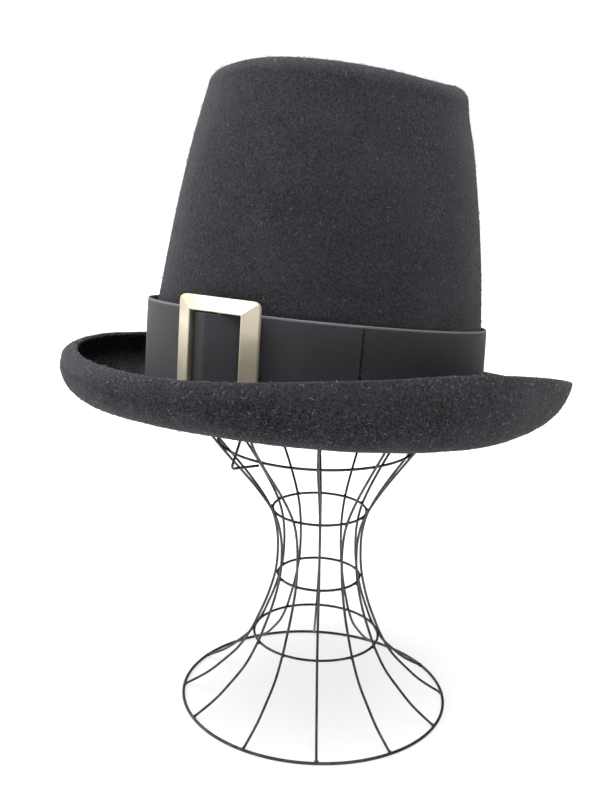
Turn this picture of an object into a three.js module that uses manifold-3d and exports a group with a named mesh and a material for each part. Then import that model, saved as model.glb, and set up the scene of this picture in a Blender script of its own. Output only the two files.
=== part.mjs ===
// A tall felt hat with a rolled brim and a buckled ribbon band, on a welded wire stand.
// Millimetres, +Z up. The hat's front faces -Y and its wearer's left is +X.
import * as THREE from "three";
import { mergeVertices } from "three/addons/utils/BufferGeometryUtils.js";
import Module from "manifold-3d";

const wasm = await Module();
wasm.setup();

// Driving sizes

const GAP = 0.3; // between pieces that touch

const FELT_THICKNESS = 2.6;

// How the hat sits on the stand: its foot's centre from the stand's axis, and its tilt.
const HAT_SEAT = { x: -1.2, y: -11.6, z: 188.1 };
const HAT_FRONT_UP_DEG = 8.5;

// Outer sizes of the crown, an oval at each height above the hat's foot.
// forward and left say how far the oval's middle has moved.
const CROWN_SECTIONS = [
  { height: 0, halfWidth: 87.2, halfLength: 105.8, forward: 0.0, left: 0.0 },
  { height: 45, halfWidth: 84.2, halfLength: 102.9, forward: 4.3, left: 1.1 },
  { height: 90, halfWidth: 78.5, halfLength: 97.3, forward: 8.6, left: 2.2 },
  { height: 135, halfWidth: 70.2, halfLength: 89.0, forward: 12.9, left: 3.3 },
  { height: 180, halfWidth: 59.1, halfLength: 78.1, forward: 17.2, left: 4.4 },
];

// Height of the crown's top edge round the hat. Azimuth 0 is the front and 90 the wearer's left.
const TOP_EDGE = [
  { azimuth: 0, height: 165.6 },
  { azimuth: 45, height: 165.9 },
  { azimuth: 90, height: 168.1 },
  { azimuth: 135, height: 177.5 },
  { azimuth: 180, height: 184.4 },
  { azimuth: 225, height: 179.0 },
  { azimuth: 270, height: 167.7 },
  { azimuth: 315, height: 163.8 },
];
const SHOULDER_RADIUS = 9;
const TOP_DISH = 2;

// The brim's under side at each azimuth, measured out from the crown's wall and up from the foot:
// its lowest point, how far out and up its roll goes, how far the roll leans out on its way up,
// and how far its rim curls back in.
const BRIM_SECTIONS = [
  { azimuth: 0, lowOut: 21.3, lowDown: 9.6, rimOut: 45.1, rimUp: 15.9, lean: 0, curl: 3.0 },
  { azimuth: 30, lowOut: 24.0, lowDown: 9.4, rimOut: 45.7, rimUp: 24.0, lean: -1, curl: 2.5 },
  { azimuth: 60, lowOut: 22.4, lowDown: 8.8, rimOut: 40.4, rimUp: 29.5, lean: -2, curl: 1.8 },
  { azimuth: 90, lowOut: 20.0, lowDown: 7.2, rimOut: 42.2, rimUp: 27.6, lean: 2, curl: 1.0 },
  { azimuth: 120, lowOut: 20.8, lowDown: 6.2, rimOut: 54.5, rimUp: 20.8, lean: 6, curl: 0.5 },
  { azimuth: 150, lowOut: 23.0, lowDown: 6.8, rimOut: 62.1, rimUp: 13.4, lean: 8, curl: 0.5 },
  { azimuth: 180, lowOut: 25.2, lowDown: 7.6, rimOut: 60.2, rimUp: 15.2, lean: 5, curl: 1.0 },
  { azimuth: 210, lowOut: 23.1, lowDown: 8.3, rimOut: 51.1, rimUp: 17.6, lean: 2, curl: 2.0 },
  { azimuth: 240, lowOut: 22.8, lowDown: 10.5, rimOut: 48.7, rimUp: 18.7, lean: -3, curl: 4.0 },
  { azimuth: 270, lowOut: 24.2, lowDown: 13.1, rimOut: 50.6, rimUp: 19.6, lean: -3, curl: 5.8 },
  { azimuth: 300, lowOut: 23.5, lowDown: 13.0, rimOut: 48.2, rimUp: 18.2, lean: -3, curl: 6.0 },
  { azimuth: 330, lowOut: 21.0, lowDown: 10.9, rimOut: 44.4, rimUp: 14.9, lean: -2, curl: 4.5 },
];
const FOOT_RISE = 6; // how far above the foot the crown's wall starts to turn out into the brim
const FOOT_SPREAD = 0.45; // how much of the way out to its lowest point the brim's foot runs level
// What each millimetre of curl does to the roll's shape: out at its foot, and out and up below its rim.
const CURL = { foot: 0.6, out: 0.75, up: 0.09 };

// The ribbon stands off the crown, more at its top edge than at its bottom edge.
const RIBBON = {
  thickness: 1.0,
  bottom: 5,
  top: 46,
  offBottom: 1.3,
  offTop: 3.2,
  offBottomMore: 0.15, // more on the wearer's front right, and less opposite
  offTopMore: 1.4,
  offMoreAt: 308,
};
const RIBBON_LAP = { start: 24, end: 40, riseFrom: 17, riseTo: 23 }; // azimuths of the lapped ends

// The buckle's frame, upright on the ribbon at the front.
const BUCKLE = {
  width: 43.5,
  height: 49.2,
  azimuth: -1.6,
  middle: 28.0,
  bar: 8.0, // width of the frame's uprights
  topBar: 6.6, // and of its top and bottom
  cornerRadius: 3.5,
  innerRadius: 0.3,
  standOff: 0.65,
};
// The frame's section, in from its outer edge and out from its back.
const BUCKLE_SECTION = [
  { inset: 0.3, depth: 0 },
  { inset: 8.0, depth: 0 },
  { inset: 8.0, depth: 4.9 },
  { inset: 7.4, depth: 5.4 },
  { inset: 0.9, depth: 2.0 },
  { inset: 0, depth: 1.2 },
  { inset: 0, depth: 0.4 },
];
const CENTRE_BAR = { width: 2.4, thickness: 1.6, back: 0.1, lap: 2 }; // lap: into the frame at each end

// The ribbon's piece in the buckle: a soft ridge, two nearly even sides, and ends that
// slope down behind the frame's uprights beyond tuck.
const LOOP = {
  halfWidth: 18,
  height: 34.6,
  thickness: 0.9,
  crest: 5.0,
  ridge: -4.3, // across, from the buckle's middle
  softness: 1.2,
  tuck: 13.1,
  evenRight: 0.22, // how much of each side's fall is even, on the wearer's right and left
  evenLeft: 0.68,
  steepness: 18, // the power that the rest of it falls with
  slope: 0.16,
};

// The stand's upright wires at each height: their distance from the axis, how far the stand leans
// to one side, and how far they have turned round it. Above the height of 172 they are in the hat.
const STAND_PROFILE = [
  { height: 0, radius: 78.5, lean: 0, twist: 0 },
  { height: 8.5, radius: 65.0, lean: 0, twist: 0 },
  { height: 16.5, radius: 56.0, lean: 0, twist: 0 },
  { height: 27, radius: 46.0, lean: 0, twist: -0.1 },
  { height: 39.3, radius: 38.6, lean: 0, twist: -0.4 },
  { height: 48, radius: 34.8, lean: 0, twist: -0.6 },
  { height: 61, radius: 29.8, lean: 0, twist: -0.9 },
  { height: 76.6, radius: 25.7, lean: 0, twist: -1.2 },
  { height: 90, radius: 24.4, lean: 0.3, twist: -1.3 },
  { height: 104, radius: 25.0, lean: 0.7, twist: -1.3 },
  { height: 117.5, radius: 28.8, lean: 1.2, twist: -1.2 },
  { height: 135, radius: 39.4, lean: 2.4, twist: -1.1 },
  { height: 159.7, radius: 58.3, lean: 4.5, twist: -1 },
  { height: 172, radius: 67.0, lean: 4.9, twist: -1 },
  { height: 187, radius: 73.0, lean: 4.9, twist: -1 },
  { height: 208, radius: 75.5, lean: 4.5, twist: -1 },
  { height: 240, radius: 74.5, lean: 3.4, twist: -1 },
  { height: 285, radius: 69.1, lean: 2, twist: -1 },
  { height: 320, radius: 56.6, lean: 1, twist: -1 },
  { height: 342, radius: 37.0, lean: 0.4, twist: -1 },
  { height: 350.5, radius: 17.0, lean: 0, twist: -1 },
];
const LEAN_AZIMUTH = 296;
const WIRE_RADIUS = 0.75;
const WIRE_AZIMUTHS = [27, 58.7, 88.8, 118, 144, 174.2, 205.3, 234.1, 265.8, 294.8, 323.7, 356.1];
const WIRE_START = 2.2; // left out of the profile's length at its foot, clear of the base ring
const WIRE_END = 0.3; // left out of it at its top
const BASE_RING = { radius: 78.5, wireRadius: 1.0 };
const RINGS = [
  { name: "ring_lower", height: 39.3 },
  { name: "ring_waist", height: 76.6 },
  { name: "ring_neck", height: 117.5 },
  { name: "ring_upper", height: 159.7 },
  { name: "ring_seat", height: 187 },
  { name: "ring_head", height: 240 },
];
const TOP_RING = { radius: 14, height: 350.5 };

// The small wire loop that sticks out of the stand, in an upright plane through its axis.
const WIRE_LOOP = {
  azimuth: -12,
  points: [
    { out: 58.8, up: 157.4 },
    { out: 80.6, up: 160.6 },
    { out: 69.2, up: 184.6 },
  ],
  bend: 3,
};

// How finely each shape is faceted

const HAT_STEPS = 48;
const TOP_RINGS = [0.02, 0.35, 0.7, 0.9]; // from the middle of the crown's top to its edge
const SHOULDER_STEPS = 4;
const WALL_STEPS = 6;
const FOOT_STEPS = 4;
const ROLL_STEPS = 7;
const BAND_STEPS = 50;
const LOOP_STEPS = 72;
const LOOP_PROBE = 0.25; // how far to each side the slant of the loop's face is taken
const CORNER_STEPS = 3;
const WIRE_SIDES = 6;
const WIRE_STEPS = 22;
const WIRE_SAMPLES = 120;
const WIRE_LOOP_STEPS = 16;
const RING_STEPS = 32;
const TOP_RING_STEPS = 16;
const BASE_RING_SIDES = 8;
const BASE_RING_STEPS = 48;
const MERGE_DISTANCE = 1e-4;

// Materials

function material(color, roughness, metalness) {
  return new THREE.MeshStandardMaterial({ color, roughness, metalness });
}
const FELT = material(0x2b2a2e, 0.95, 0);
const RIBBON_CLOTH = material(0x2f2f32, 0.7, 0);
const BUCKLE_METAL = material(0xc9c0a4, 0.35, 1);
const WIRE_METAL = material(0x2e3032, 0.5, 0.8);

// General shapes

const radians = THREE.MathUtils.degToRad;

// A smooth curve through one column of a table, against the column named by key.
function column(table, key, name) {
  const at = table.map((row) => row[key]);
  const values = table.map((row) => row[name]);
  const curve = new THREE.CubicInterpolant(at, values, 1, new Float64Array(1));
  return (t) => curve.evaluate(t)[0];
}

// The same for a table that goes once round the hat, with azimuths from 0.
function roundColumn(table, name) {
  const shift = (row, turn) => ({ azimuth: row.azimuth + turn, value: row[name] });
  const turns = [-360, 0, 360].flatMap((turn) => table.map((row) => shift(row, turn)));
  const curve = column(turns, "azimuth", "value");
  return (azimuth) => curve(THREE.MathUtils.euclideanModulo(azimuth, 360));
}

function signedVolume(points, faces) {
  return faces.reduce((sum, [a, b, c]) => {
    return sum + points[a].dot(points[b].clone().cross(points[c])) / 6;
  }, 0);
}

// One closed body from rows of points, each row a closed ring.
// The rows either close on themselves, or end in a cap that meets the middle of the first and last row.
function skin(rows, closed) {
  const around = rows[0].length;
  const points = rows.flat();
  const faces = [];
  const last = closed ? rows.length : rows.length - 1;
  for (let i = 0; i < last; i++) {
    const here = i * around;
    const next = ((i + 1) % rows.length) * around;
    for (let j = 0; j < around; j++) {
      const k = (j + 1) % around;
      faces.push([here + j, next + j, next + k]);
      faces.push([here + j, next + k, here + k]);
    }
  }
  if (!closed) {
    [0, rows.length - 1].forEach((i) => {
      const middle = new THREE.Vector3();
      rows[i].forEach((p) => middle.addScaledVector(p, 1 / around));
      points.push(middle);
      for (let j = 0; j < around; j++) {
        const edge = [i * around + j, i * around + ((j + 1) % around)];
        faces.push([points.length - 1, ...(i === 0 ? edge : edge.reverse())]);
      }
    });
  }
  if (signedVolume(points, faces) < 0) faces.forEach((face) => face.reverse());
  const geometry = new THREE.BufferGeometry().setFromPoints(points);
  geometry.setIndex(faces.flat());
  geometry.computeVertexNormals();
  return geometry;
}

// A round wire along a curve, with flat ends.
function wire(curve, radius, sides, steps) {
  const section = new THREE.Shape();
  for (let i = 0; i < sides; i++) {
    const turn = ((i + 0.5) / sides) * 2 * Math.PI;
    const place = [radius * Math.cos(turn), radius * Math.sin(turn)];
    if (i === 0) section.moveTo(...place);
    else section.lineTo(...place);
  }
  section.closePath();
  return new THREE.ExtrudeGeometry(section, { extrudePath: curve, steps, bevelEnabled: false });
}

// A level ring of round wire. Its section has a flat side underneath, level with the ring.
function ring(radius, wireRadius, sides, steps) {
  const profile = [];
  for (let i = 0; i <= sides; i++) {
    const turn = (((i % sides) + 0.5) / sides) * 2 * Math.PI;
    profile.push(
      new THREE.Vector2(radius + wireRadius * Math.cos(turn), wireRadius * Math.sin(turn)),
    );
  }
  return new THREE.LatheGeometry(profile, steps).rotateX(Math.PI / 2);
}

function solid(geometry) {
  const bare = geometry.clone();
  bare.deleteAttribute("normal");
  bare.deleteAttribute("uv");
  const merged = mergeVertices(bare, MERGE_DISTANCE);
  return new wasm.Manifold(
    new wasm.Mesh({
      numProp: 3,
      vertProperties: new Float32Array(merged.attributes.position.array),
      triVerts: new Uint32Array(merged.index.array),
    }),
  );
}

function geometryOf(body) {
  const mesh = body.getMesh();
  const geometry = new THREE.BufferGeometry();
  geometry.setAttribute("position", new THREE.BufferAttribute(mesh.vertProperties, 3));
  geometry.setIndex(new THREE.BufferAttribute(mesh.triVerts, 1));
  geometry.computeVertexNormals();
  return geometry;
}

function mesh(name, geometry, finish) {
  const made = new THREE.Mesh(geometry, finish);
  made.name = name;
  return made;
}

// Crown

const crown = {
  halfWidth: column(CROWN_SECTIONS, "height", "halfWidth"),
  halfLength: column(CROWN_SECTIONS, "height", "halfLength"),
  forward: column(CROWN_SECTIONS, "height", "forward"),
  left: column(CROWN_SECTIONS, "height", "left"),
};
const topEdge = roundColumn(TOP_EDGE, "height");

// The point of the crown's oval at a height, moved out square to the oval.
function crownPoint(azimuth, height, out) {
  const turn = radians(azimuth);
  const halfWidth = crown.halfWidth(height);
  const halfLength = crown.halfLength(height);
  const square = new THREE.Vector2(halfLength * Math.sin(turn), -halfWidth * Math.cos(turn));
  square.setLength(out);
  return new THREE.Vector3(
    halfWidth * Math.sin(turn) + crown.left(height) + square.x,
    -halfLength * Math.cos(turn) - crown.forward(height) + square.y,
    height,
  );
}

// Felt: the middle of the wall is laid out first, from the top of the crown to the rim,
// and then given its thickness

const brim = Object.fromEntries(
  ["lowOut", "lowDown", "rimOut", "rimUp", "lean", "curl"].map((name) => [
    name,
    roundColumn(BRIM_SECTIONS, name),
  ]),
);

// Out and up of the brim's wall at an azimuth: down from the crown to the lowest point,
// then up the roll to the rim.
function brimCurves(azimuth) {
  const half = FELT_THICKNESS / 2;
  const low = new THREE.Vector2(brim.lowOut(azimuth), half - brim.lowDown(azimuth));
  const out = brim.rimOut(azimuth) - half;
  const up = brim.rimUp(azimuth) - half;
  const lean = brim.lean(azimuth);
  const curl = brim.curl(azimuth);
  const near = THREE.MathUtils.lerp(low.x, out - lean, 2 / 3) + CURL.foot * curl;
  const far = out - (2 / 3) * lean + CURL.out * curl;
  return [
    new THREE.CubicBezierCurve(
      new THREE.Vector2(-half, FOOT_RISE),
      new THREE.Vector2(-half, 0),
      new THREE.Vector2(FOOT_SPREAD * low.x, low.y),
      low,
    ),
    new THREE.CubicBezierCurve(
      low,
      new THREE.Vector2(near, low.y),
      new THREE.Vector2(far, THREE.MathUtils.lerp(low.y, up, 1 / 3 + CURL.up * curl)),
      new THREE.Vector2(out - curl, up),
    ),
  ];
}

function wallMiddle(azimuth) {
  const half = FELT_THICKNESS / 2;
  const radius = SHOULDER_RADIUS - half;
  const shoulder = topEdge(azimuth) - SHOULDER_RADIUS;
  const points = [];
  for (let i = 0; i <= SHOULDER_STEPS; i++) {
    const lift = (1 - i / SHOULDER_STEPS) * (Math.PI / 2);
    const height = shoulder + radius * Math.sin(lift);
    const out = radius * Math.cos(lift) - SHOULDER_RADIUS;
    const point = crownPoint(azimuth, shoulder, out);
    point.z = height;
    points.push(point);
  }
  const middle = new THREE.Vector3(
    crown.left(shoulder),
    -crown.forward(shoulder),
    topEdge(0) / 2 + topEdge(180) / 2 - TOP_DISH - half,
  );
  const edge = points[0];
  const top = TOP_RINGS.map((share) => {
    const point = middle.clone().lerp(edge, share);
    point.z = THREE.MathUtils.lerp(middle.z, edge.z, share * share);
    return point;
  });
  for (let i = 1; i < WALL_STEPS; i++) {
    const height = THREE.MathUtils.lerp(shoulder, FOOT_RISE, i / WALL_STEPS);
    points.push(crownPoint(azimuth, height, -half));
  }
  const [foot, roll] = brimCurves(azimuth);
  const flare = [...foot.getPoints(FOOT_STEPS), ...roll.getPoints(ROLL_STEPS).slice(1)];
  flare.forEach(({ x, y }) => {
    const point = crownPoint(azimuth, Math.max(y, 0), x);
    point.z = y;
    points.push(point);
  });
  return [...top, ...points];
}

function feltBody() {
  const columns = [];
  for (let j = 0; j < HAT_STEPS; j++) columns.push(wallMiddle((360 * j) / HAT_STEPS));
  const count = columns[0].length;
  const outside = [];
  const inside = [];
  for (let i = 0; i < count; i++) {
    const outer = [];
    const inner = [];
    columns.forEach((line, j) => {
      const left = columns[(j + 1) % HAT_STEPS][i];
      const right = columns[(j + HAT_STEPS - 1) % HAT_STEPS][i];
      const down = line[Math.min(i + 1, count - 1)].clone().sub(line[Math.max(i - 1, 0)]);
      const normal = down.cross(left.clone().sub(right)).normalize();
      outer.push(line[i].clone().addScaledVector(normal, FELT_THICKNESS / 2));
      inner.push(line[i].clone().addScaledVector(normal, -FELT_THICKNESS / 2));
    });
    outside.push(outer);
    inside.push(inner);
  }
  const rim = columns.map((line) => {
    const end = line[count - 1];
    const onward = end.clone().sub(line[count - 2]).setLength(FELT_THICKNESS / 2);
    return end.clone().add(onward);
  });
  return mesh("felt_body", skin([...outside, rim, ...inside.reverse()], false), FELT);
}

// Ribbon band: one strip round the foot of the crown, whose end laps over its start

function ribbonOff(azimuth, share) {
  const side = Math.cos(radians(azimuth - RIBBON.offMoreAt));
  const bottom = RIBBON.offBottom + RIBBON.offBottomMore * side;
  const top = RIBBON.offTop + RIBBON.offTopMore * side;
  return THREE.MathUtils.lerp(bottom, top, share);
}

function ribbonPoint(azimuth, share, out) {
  const height = THREE.MathUtils.lerp(RIBBON.bottom, RIBBON.top, share);
  return crownPoint(azimuth, height, ribbonOff(azimuth, share) + out);
}

function ribbonBand() {
  const rows = [];
  const lift = RIBBON.thickness + GAP;
  const from = RIBBON_LAP.start;
  const to = RIBBON_LAP.end + 360;
  const { riseFrom, riseTo } = RIBBON_LAP;
  for (let j = 0; j <= BAND_STEPS; j++) {
    const azimuth = THREE.MathUtils.lerp(from, to, j / BAND_STEPS);
    const under = lift * THREE.MathUtils.smoothstep(azimuth, riseFrom + 360, riseTo + 360);
    const over = under + RIBBON.thickness;
    rows.push([
      ...[0, 0.5, 1].map((share) => ribbonPoint(azimuth, share, under)),
      ...[1, 0.5, 0].map((share) => ribbonPoint(azimuth, share, over)),
    ]);
  }
  return mesh("ribbon_band", skin(rows, false), RIBBON_CLOTH);
}

// Buckle: x across, z up, and out towards -y from its back

function buckleFrame() {
  const rows = [];
  const corners = [
    [1, 1],
    [-1, 1],
    [-1, -1],
    [1, -1],
  ];
  corners.forEach(([sx, sz], corner) => {
    for (let step = 0; step <= CORNER_STEPS; step++) {
      const turn = (corner + step / CORNER_STEPS) * (Math.PI / 2);
      rows.push(
        BUCKLE_SECTION.map(({ inset, depth }) => {
          const round = BUCKLE.cornerRadius * (1 - inset / BUCKLE.bar);
          const radius = Math.max(round, BUCKLE.innerRadius);
          const x = sx * (BUCKLE.width / 2 - inset - radius) + radius * Math.cos(turn);
          const down = (inset * BUCKLE.topBar) / BUCKLE.bar;
          const z = sz * (BUCKLE.height / 2 - down - radius) + radius * Math.sin(turn);
          return new THREE.Vector3(x, -depth, z);
        }),
      );
    }
  });
  return skin(rows, true);
}

function buckle() {
  const { width, thickness, back, lap } = CENTRE_BAR;
  const length = BUCKLE.height - 2 * (BUCKLE.topBar - lap);
  const bar = new THREE.BoxGeometry(width, thickness, length);
  bar.translate(0, -thickness / 2 - back, 0);
  return mesh("buckle", geometryOf(solid(buckleFrame()).add(solid(bar))), BUCKLE_METAL);
}

// The ribbon's short piece in the buckle lies over the centre bar. This is how far its face
// stands out from the buckle's back.
function loopFace(x) {
  const softly = (across) => Math.hypot(across, LOOP.softness) - LOOP.softness;
  const onRight = x < LOOP.ridge;
  const reach = softly(LOOP.tuck + (onRight ? LOOP.ridge : -LOOP.ridge));
  const far = Math.min(softly(x - LOOP.ridge) / reach, 1);
  const even = onRight ? LOOP.evenRight : LOOP.evenLeft;
  const rise = 1 - even * far - (1 - even) * far ** LOOP.steepness;
  const sink = LOOP.slope * Math.max(Math.abs(x) - LOOP.tuck, 0);
  return rise * (LOOP.crest + GAP) - GAP - sink;
}

function ribbonLoop() {
  const rows = [];
  for (let i = 0; i <= LOOP_STEPS; i++) {
    const x = THREE.MathUtils.lerp(-LOOP.halfWidth, LOOP.halfWidth, i / LOOP_STEPS);
    const face = loopFace(x);
    const slant = (loopFace(x + LOOP_PROBE) - loopFace(x - LOOP_PROBE)) / (2 * LOOP_PROBE);
    const inward = LOOP.thickness / Math.hypot(1, slant); // the back face is square to the front
    const inner = x + inward * slant;
    const back = face - inward;
    const half = LOOP.height / 2;
    rows.push([
      new THREE.Vector3(inner, -back, -half),
      new THREE.Vector3(inner, -back, half),
      new THREE.Vector3(x, -face, half),
      new THREE.Vector3(x, -face, -half),
    ]);
  }
  return mesh("ribbon_loop", skin(rows, false), RIBBON_CLOTH);
}

// The buckle rests on the ribbon near the front, turned with it, and leans as the ribbon does.
function buckleGroup() {
  const low = ribbonPoint(BUCKLE.azimuth, 0, RIBBON.thickness);
  const high = ribbonPoint(BUCKLE.azimuth, 1, RIBBON.thickness);
  const share = (BUCKLE.middle - low.z) / (high.z - low.z);
  const { halfLength, halfWidth } = CROWN_SECTIONS[0];
  const group = new THREE.Group();
  group.position.copy(low.clone().lerp(high, share));
  group.position.y -= BUCKLE.standOff;
  group.rotation.order = "ZXY";
  group.rotation.x = Math.atan2(low.y - high.y, high.z - low.z);
  group.rotation.z = radians(BUCKLE.azimuth) * (halfLength / halfWidth);
  group.add(buckle(), ribbonLoop());
  return group;
}

// Stand

const wireOut = column(STAND_PROFILE, "height", "radius");
const standLean = column(STAND_PROFILE, "height", "lean");

// The middle of the leaning stand at a height.
function standMiddle(height) {
  const turn = radians(LEAN_AZIMUTH);
  const lean = standLean(height);
  return new THREE.Vector3(lean * Math.sin(turn), -lean * Math.cos(turn), height);
}

// A ring's radius is that of the sloping uprights, less both wires, so that it lies just inside them.
function ringRadius(height) {
  const slope = (wireOut(height + 1) - wireOut(height - 1)) / 2;
  return wireOut(height) - (2 * WIRE_RADIUS + 1.6 * GAP) * Math.hypot(1, slope);
}

function upright(azimuth, index) {
  const points = STAND_PROFILE.map(({ height, radius, twist }) => {
    const turn = radians(azimuth + twist);
    const out = new THREE.Vector3(radius * Math.sin(turn), -radius * Math.cos(turn), 0);
    return standMiddle(height).add(out);
  });
  const curve = new THREE.CatmullRomCurve3(points);
  const length = curve.getLength();
  const cut = curve.getSpacedPoints(WIRE_SAMPLES).slice(1);
  cut[0] = curve.getPointAt(WIRE_START / length);
  cut[cut.length - 1] = curve.getPointAt(1 - WIRE_END / length);
  const path = new THREE.CatmullRomCurve3(cut);
  const number = String(index + 1).padStart(2, "0");
  const shape = wire(path, WIRE_RADIUS, WIRE_SIDES, WIRE_STEPS);
  return mesh("stand_wire_" + number, shape, WIRE_METAL);
}

function wireLoop() {
  const [join, corner, top] = WIRE_LOOP.points.map(({ out, up }) => new THREE.Vector3(out, 0, up));
  const before = corner.clone().add(join.clone().sub(corner).setLength(WIRE_LOOP.bend));
  const after = corner.clone().add(top.clone().sub(corner).setLength(WIRE_LOOP.bend));
  const path = new THREE.CurvePath();
  path.add(new THREE.LineCurve3(join, before));
  path.add(new THREE.QuadraticBezierCurve3(before, corner, after));
  path.add(new THREE.LineCurve3(after, top));
  const shape = wire(path, WIRE_RADIUS, WIRE_SIDES, WIRE_LOOP_STEPS);
  const made = mesh("wire_loop", shape, WIRE_METAL);
  made.rotation.z = radians(WIRE_LOOP.azimuth - 90);
  return made;
}

function stand() {
  const group = new THREE.Group();
  const { radius, wireRadius } = BASE_RING;
  const base = ring(radius, wireRadius, BASE_RING_SIDES, BASE_RING_STEPS);
  group.add(mesh("base_ring", base, WIRE_METAL));
  RINGS.forEach(({ name, height }) => {
    const shape = ring(ringRadius(height), WIRE_RADIUS, WIRE_SIDES, RING_STEPS);
    const level = mesh(name, shape, WIRE_METAL);
    level.position.copy(standMiddle(height));
    group.add(level);
  });
  const small = ring(TOP_RING.radius, WIRE_RADIUS, WIRE_SIDES, TOP_RING_STEPS);
  const top = mesh("ring_top", small, WIRE_METAL);
  top.position.z = TOP_RING.height;
  group.add(top);
  group.add(...WIRE_AZIMUTHS.map(upright), wireLoop());
  return group;
}

// The whole, moved so that its lowest level is 0 and the middle of its outline is the origin

const hat = new THREE.Group();
hat.add(feltBody(), ribbonBand(), buckleGroup());
hat.position.set(HAT_SEAT.x, HAT_SEAT.y, HAT_SEAT.z);
hat.rotation.x = -radians(HAT_FRONT_UP_DEG);

const group = new THREE.Group();
group.add(hat, stand());
group.updateMatrixWorld(true);
const box = new THREE.Box3().setFromObject(group, true);
const middle = box.getCenter(new THREE.Vector3());
group.position.set(-middle.x, -middle.y, -box.min.z);

export default group;
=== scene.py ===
import math

import bpy
import numpy as np
from mathutils import Matrix, Vector, noise


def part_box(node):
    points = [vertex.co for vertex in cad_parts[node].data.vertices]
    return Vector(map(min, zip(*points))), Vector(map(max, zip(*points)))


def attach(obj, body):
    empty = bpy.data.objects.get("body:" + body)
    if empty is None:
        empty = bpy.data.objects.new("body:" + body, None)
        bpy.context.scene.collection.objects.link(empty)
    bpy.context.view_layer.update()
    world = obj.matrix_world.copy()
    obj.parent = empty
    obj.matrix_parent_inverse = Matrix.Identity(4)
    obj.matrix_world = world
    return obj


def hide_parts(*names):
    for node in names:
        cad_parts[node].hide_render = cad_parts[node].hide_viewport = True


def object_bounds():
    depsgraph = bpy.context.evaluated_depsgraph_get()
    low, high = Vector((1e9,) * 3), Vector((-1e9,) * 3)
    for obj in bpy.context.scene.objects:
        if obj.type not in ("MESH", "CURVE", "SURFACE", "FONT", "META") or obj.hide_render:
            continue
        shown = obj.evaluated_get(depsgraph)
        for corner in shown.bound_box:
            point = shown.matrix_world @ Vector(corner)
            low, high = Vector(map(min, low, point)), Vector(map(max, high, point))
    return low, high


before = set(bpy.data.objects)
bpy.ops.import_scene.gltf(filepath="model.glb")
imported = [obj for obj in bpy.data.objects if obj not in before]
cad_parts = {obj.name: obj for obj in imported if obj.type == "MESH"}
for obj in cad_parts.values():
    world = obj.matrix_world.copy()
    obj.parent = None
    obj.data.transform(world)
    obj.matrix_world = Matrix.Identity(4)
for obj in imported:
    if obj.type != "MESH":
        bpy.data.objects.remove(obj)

CAD_BOX = [list(map(float, corner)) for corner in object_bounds()]
MM = 0.001
rng = np.random.default_rng(7)

# Where the stand and the hat are, from the frame

ring_low, ring_high = (Vector(corner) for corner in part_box("base_ring"))
STAND_FOOT = (ring_low + ring_high) / 2
HAT_SEAT = Vector((-1.2, -11.6, 188.1)) * MM  # the middle of the hat's foot
HAT_FRONT_UP = math.radians(8.5)
HAT = Matrix.Translation(STAND_FOOT + HAT_SEAT) @ Matrix.Rotation(-HAT_FRONT_UP, 4, "X")
STAND = Matrix.Translation(STAND_FOOT)

# Camera: placed from the middle of the base ring, in a frame turned from the hat's front

CAMERA_TURN = math.radians(26)
CAMERA_PLACE = Vector((-17.5, -613.9, 343.9)) * MM
CAMERA_RIGHT = math.radians(0.21)
CAMERA_DOWN = math.radians(14.75)
CAMERA_ROLL = math.radians(2.36)
SENSOR_HEIGHT = 24
LENS = 33.56


def add_camera():
    data = bpy.data.cameras.new("camera")
    data.sensor_fit = "VERTICAL"
    data.sensor_height = SENSOR_HEIGHT
    data.lens = LENS
    data.clip_start = 0.01
    data.clip_end = 50
    camera = bpy.data.objects.new("camera", data)
    camera.matrix_world = (
        STAND
        @ Matrix.Rotation(CAMERA_TURN, 4, "Z")
        @ Matrix.Translation(CAMERA_PLACE)
        @ Matrix.Rotation(-CAMERA_RIGHT, 4, "Z")
        @ Matrix.Rotation(math.pi / 2 - CAMERA_DOWN, 4, "X")
        @ Matrix.Rotation(CAMERA_ROLL, 4, "Z")
    )
    bpy.context.scene.collection.objects.link(camera)
    bpy.context.scene.camera = camera


# Tables, in millimetres and degrees. Azimuths turn from the hat's front towards the wearer's left

FELT_THICKNESS = 2.6
HALF_FELT = FELT_THICKNESS / 2

# The crown's oval at each height above the hat's foot, and how far its middle has moved
CROWN = {
    "height": [0, 45, 90, 135, 180],
    "half_width": [87.2, 84.2, 78.5, 70.2, 59.1],
    "half_length": [105.8, 102.9, 97.3, 89.0, 78.1],
    "forward": [0, 4.3, 8.6, 12.9, 17.2],
    "left": [0, 1.1, 2.2, 3.3, 4.4],
}
TOP_EDGE = {
    "azimuth": [0, 45, 90, 135, 180, 225, 270, 315],
    "height": [165.6, 165.9, 168.1, 177.5, 184.4, 179.0, 167.7, 163.8],
}
SHOULDER_RADIUS = 9
TOP_DISH = 2

# The brim's under side, out from the crown's wall and up from the hat's foot
BRIM = {
    "azimuth": [0, 30, 60, 90, 120, 150, 180, 210, 240, 270, 300, 330],
    "low_out": [21.3, 24.0, 22.4, 20.0, 20.8, 23.0, 25.2, 23.1, 22.8, 24.2, 23.5, 21.0],
    "low_down": [9.6, 9.4, 8.8, 7.2, 6.2, 6.8, 7.6, 8.3, 10.5, 13.1, 13.0, 10.9],
    "rim_out": [45.1, 45.7, 40.4, 42.2, 54.5, 62.1, 60.2, 51.1, 48.7, 50.6, 48.2, 44.4],
    "rim_up": [15.9, 24.0, 29.5, 27.6, 20.8, 13.4, 15.2, 17.6, 18.7, 19.6, 18.2, 14.9],
    "lean": [0, -1, -2, 2, 6, 8, 5, 2, -3, -3, -3, -2],
    "curl": [3.0, 2.5, 1.8, 1.0, 0.5, 0.5, 1.0, 2.0, 4.0, 5.8, 6.0, 4.5],
}
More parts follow.
